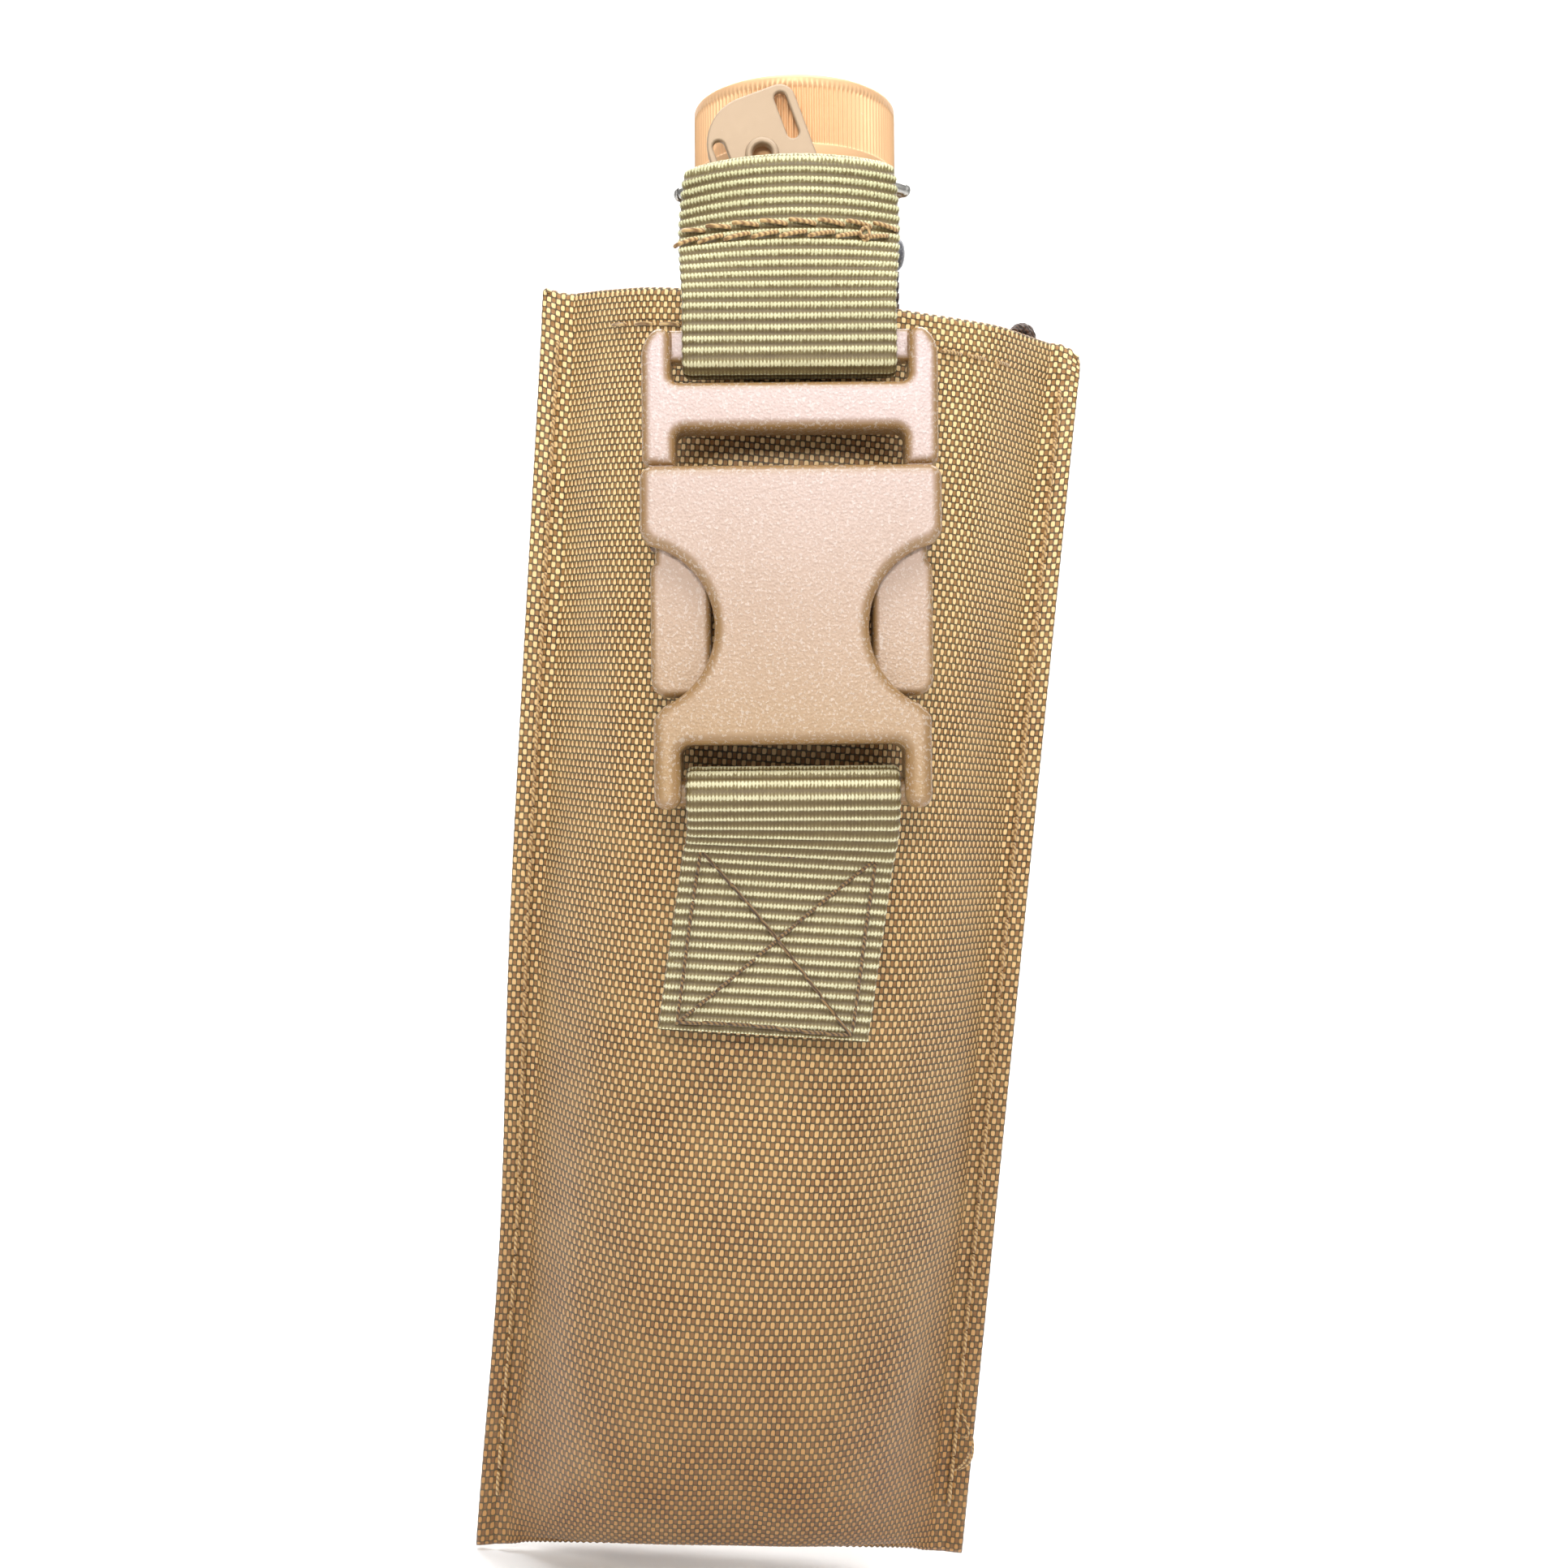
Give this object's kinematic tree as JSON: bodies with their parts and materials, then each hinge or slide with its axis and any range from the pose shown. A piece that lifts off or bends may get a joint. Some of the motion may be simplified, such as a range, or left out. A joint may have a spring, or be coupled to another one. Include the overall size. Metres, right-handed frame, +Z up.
{
  "type": "tactical flashlight in belt pouch",
  "caption": "Tan tactical flashlight held in a woven nylon belt pouch by a webbing strap and side-release buckle.",
  "frame": {"origin": "centre of the belt loop's rear face", "axes": "+Z up the pouch towards its mouth, +Y out of the back towards the wearer, +X to the right as seen from the front"},
  "size_m": [0.0718, 0.0491, 0.1925],
  "materials": {
    "pouch_fabric": "coarse plain weave",
    "strap_webbing": "ribbed nylon webbing",
    "tan_thread": "twisted thread",
    "brown_thread": "twisted thread",
    "brown_cord": "braided cord",
    "buckle_plastic": "fine moulded grain, smooth bevels",
    "tan_anodised": "matte tan anodised",
    "dark_steel": "dark satin",
    "lens_glass": "clear",
    "seal_rubber": "matte",
    "reflector_mirror": "polished",
    "led_yellow": "phosphor",
    "insulator": "matte",
    "board_white": "solder mask",
    "pill_brass": "turned",
    "board_green": "solder mask",
    "contact_gold": "plated",
    "cell_wrap": "shrink film",
    "switch_grey": "satin",
    "switch_metal": "pressed",
    "pad_rubber": "matte",
    "screw_steel": "bright",
    "clip_taupe": "matte paint",
    "spring_steel": "drawn wire"
  },
  "bodies": {
    "pouch": {"pouch_shell": "pouch_fabric", "side_seam_stitching": "tan_thread", "mouth_hem_stitching": "tan_thread", "lower_webbing_tab": "strap_webbing", "box_stitching": "brown_thread", "belt_loop": "strap_webbing", "belt_loop_stitching": "tan_thread", "cord_loop": "brown_cord", "buckle_socket": "buckle_plastic"},
    "strap": {"retention_strap": "strap_webbing", "strap_stitching": "tan_thread", "buckle_plug_frame": "buckle_plastic"},
    "arm_left": {"buckle_arm_left": "buckle_plastic"},
    "arm_right": {"buckle_arm_right": "buckle_plastic"},
    "flashlight": {"body_tube": "tan_anodised", "head_shell": "tan_anodised", "bezel_ring": "dark_steel", "lens_window": "lens_glass", "lens_gasket": "seal_rubber", "reflector": "reflector_mirror", "led_emitter": "led_yellow", "led_centering_ring": "insulator", "led_board": "board_white", "heat_sink_pill": "pill_brass", "driver_board": "board_green", "driver_spring": "contact_gold", "battery_cells": "cell_wrap", "head_o_ring": "seal_rubber", "switch_housing": "switch_grey", "switch_board": "board_green", "tact_switches": "switch_metal", "clip_saddle": "dark_steel", "clip_pivot_screw": "screw_steel", "strap_bail": "screw_steel"},
    "power_button": {"power_button": "switch_grey"},
    "mode_pad": {"mode_pad": "pad_rubber"},
    "belt_clip": {"belt_clip": "clip_taupe"},
    "tail_carriage": {"tail_contact_plate": "contact_gold", "tail_spring": "spring_steel"},
    "tail_cap": {"tail_cap": "tan_anodised", "tail_o_ring": "seal_rubber"}
  },
  "joints": [
    {"name": "flashlight_draw", "type": "slide", "parent": "pouch", "child": "flashlight", "axis": [-0.0802, 0, 0.9968], "range_m": [0, 0.165]},
    {"name": "buckle_unclip", "type": "slide", "parent": "pouch", "child": "strap", "axis": [-0.0802, 0, 0.9968], "range_m": [0, 0.165]},
    {"name": "arm_left_press", "type": "hinge", "parent": "strap", "child": "arm_left", "pos_m": [-0.01561, -0.0447, 0.0318], "axis": [0, -1, 0], "range_deg": [0, 8]},
    {"name": "arm_right_press", "type": "hinge", "parent": "strap", "child": "arm_right", "pos_m": [0.01369, -0.0447, 0.03416], "axis": [0, 1, 0], "range_deg": [0, 8]},
    {"name": "clip_swivel", "type": "hinge", "parent": "flashlight", "child": "belt_clip", "pos_m": [-0.00261, -0.0369, 0.06595], "axis": [0, 1, 0], "range_deg": [0, 40]},
    {"name": "button_press", "type": "slide", "parent": "flashlight", "child": "power_button", "axis": [-0.9968, 0, -0.0802], "range_m": [0, 0.0008]},
    {"name": "pad_press", "type": "slide", "parent": "flashlight", "child": "mode_pad", "axis": [-0.9968, 0, -0.0802], "range_m": [0, 0.0005]},
    {"name": "tail_carriage_rise", "type": "slide", "parent": "flashlight", "child": "tail_carriage", "axis": [-0.0802, 0, 0.9968], "range_m": [0, 0.0051]},
    {"name": "tail_cap_turn", "type": "hinge", "parent": "tail_carriage", "child": "tail_cap", "pos_m": [-0.00373, -0.0232, 0.07991], "axis": [-0.0802, 0, 0.9968], "range_deg": [0, 1440]}
  ],
  "couplings": [
    {"joint": "buckle_unclip", "follows": "flashlight_draw", "ratio": 1},
    {"joint": "tail_carriage_rise", "follows": "tail_cap_turn", "m_per_rad": 0.00019894}
  ]
}
